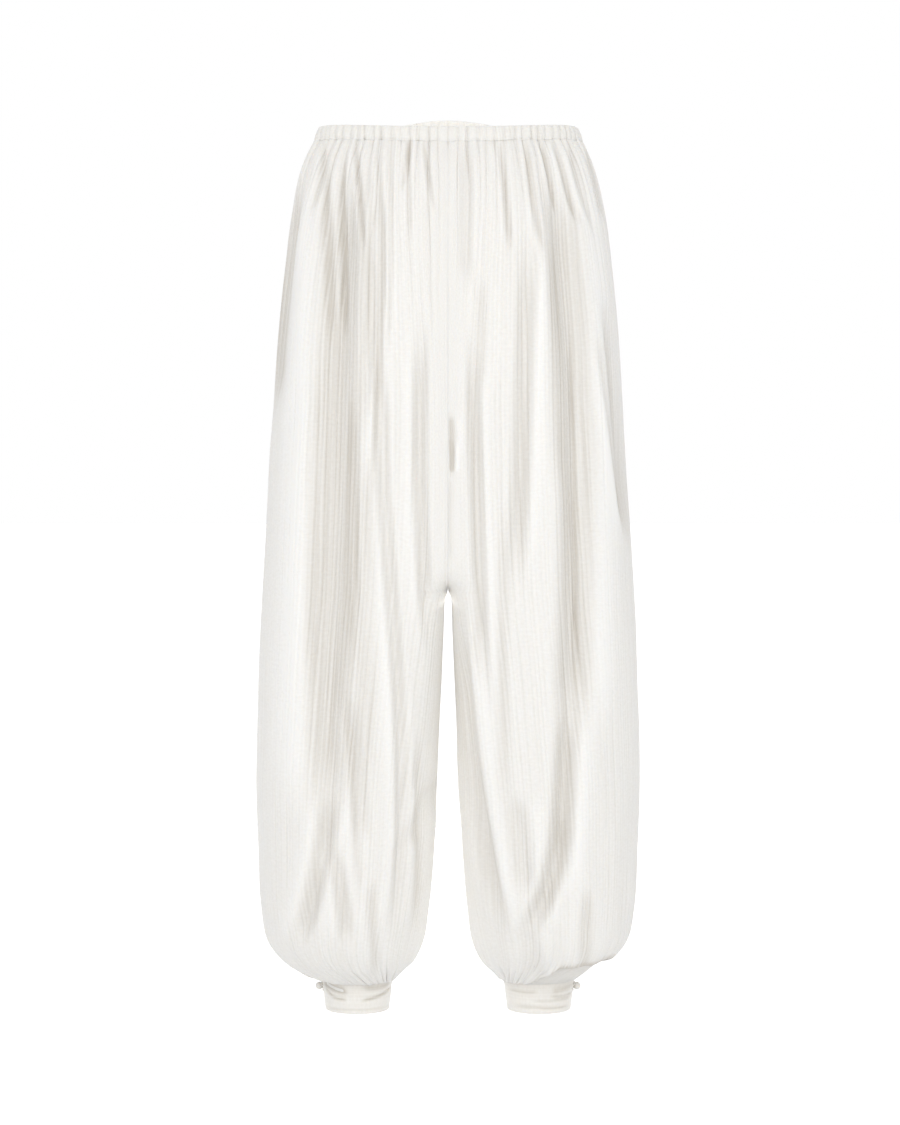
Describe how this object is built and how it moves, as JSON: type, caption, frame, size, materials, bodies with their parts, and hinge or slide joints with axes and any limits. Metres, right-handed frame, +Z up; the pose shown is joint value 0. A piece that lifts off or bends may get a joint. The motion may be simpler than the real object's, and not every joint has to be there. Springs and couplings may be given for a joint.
{
  "type": "balloon trousers",
  "caption": "Long balloon trousers of finely pleated ivory silk, gathered into a narrow elastic waistband and into close buttoned ankle cuffs, filled out as worn.",
  "frame": {"origin": "middle of the waist opening, level with the waistband's top edge at the sides", "axes": "+Z up along the body, -Y to the front, +X to the wearer's left"},
  "size_m": [0.43, 0.2685, 1.0069],
  "materials": {
    "pleated_silk": "ivory silk satin set in fine irregular pleats, soft sheen",
    "waistband_silk": "the same silk, gathered on elastic",
    "cuff_satin": "smooth ivory satin",
    "button_satin": "ivory satin over a ball button and a rouleau loop"
  },
  "bodies": {
    "root": {"front_left_leg": "pleated_silk", "front_right_leg": "pleated_silk", "back_left_leg": "pleated_silk", "back_right_leg": "pleated_silk", "waistband": "waistband_silk", "cuff_left": "cuff_satin", "button_left": "button_satin", "loop_left": "button_satin", "cuff_right": "cuff_satin", "button_right": "button_satin", "loop_right": "button_satin"}
  },
  "joints": []
}
